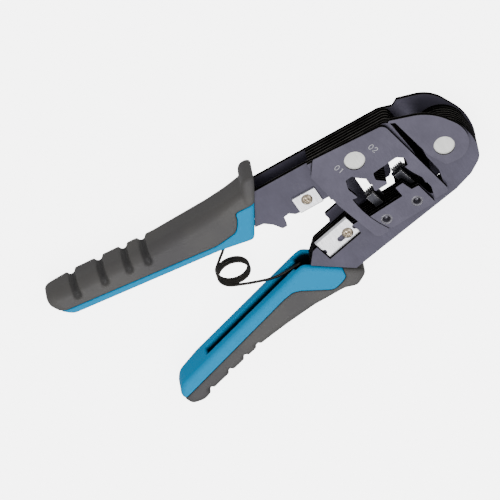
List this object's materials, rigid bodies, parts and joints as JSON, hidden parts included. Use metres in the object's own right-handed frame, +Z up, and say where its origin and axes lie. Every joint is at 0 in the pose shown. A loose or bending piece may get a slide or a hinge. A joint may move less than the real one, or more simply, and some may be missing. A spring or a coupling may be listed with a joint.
{
  "type": "modular plug crimping tool",
  "caption": "Hand crimping tool with laminated steel jaws, modular plug dies, cable cutter and stripper blades, and a spring between soft-grip handles.",
  "frame": {"origin": "middle of the bottom of the box around the tool, which lies flat with its front face up", "axes": "+X along the fixed arm towards the nose, +Y across the tool towards the fixed arm's outer edge, +Z up out of the front face"},
  "size_m": [0.2015, 0.0886, 0.0184],
  "materials": {
    "blackened_steel": "satin dark grey oxide",
    "tool_steel": "ground",
    "polished_pin": "polished ends",
    "blade_steel": "ground blade steel",
    "nickel_screw": "nickel plated",
    "spring_wire": "black oxide wire",
    "blue_plastic": "satin moulded",
    "dark_rubber": "matte soft-touch"
  },
  "bodies": {
    "frame": {"upper_back_plate": "blackened_steel", "die_lamination_1": "blackened_steel", "die_lamination_2": "blackened_steel", "die_lamination_3": "blackened_steel", "die_lamination_4": "blackened_steel", "upper_front_plate": "blackened_steel", "die_spacer_1": "blackened_steel", "die_spacer_2": "blackened_steel", "die_housing_plate": "blackened_steel", "nose_plate": "blackened_steel", "nose_back_spacer": "blackened_steel", "upper_tang_core": "blackened_steel", "pivot_pin": "polished_pin", "die_stack_pin": "polished_pin", "upper_arm_rivet": "blackened_steel", "short_blade": "blade_steel", "short_blade_screw": "nickel_screw", "upper_handle_liner": "blue_plastic", "upper_handle_grip": "dark_rubber", "return_spring": "spring_wire"},
    "lower_arm": {"lower_back_plate": "blackened_steel", "punch_lamination_1": "blackened_steel", "punch_lamination_2": "blackened_steel", "punch_lamination_3": "blackened_steel", "punch_lamination_4": "blackened_steel", "lower_front_plate": "blackened_steel", "punch_block_plate": "blackened_steel", "narrow_contact_comb": "tool_steel", "wide_contact_comb": "tool_steel", "narrow_strain_punch": "tool_steel", "wide_strain_punch": "tool_steel", "punch_block_rivets": "blackened_steel", "lower_arm_rivet": "blackened_steel", "long_blade": "blade_steel", "long_blade_screw": "nickel_screw", "lower_handle_liner": "blue_plastic", "lower_handle_grip": "dark_rubber"}
  },
  "joints": [
    {"name": "jaw_hinge", "type": "hinge", "parent": "frame", "child": "lower_arm", "pos_m": [0.0881, 0.0133, 0.0092], "axis": [0, 0, -1], "range_deg": [0, 13], "stiffness_Nm_per_rad": 1, "springref_deg": -22.92, "deforming": ["return_spring"]}
  ]
}
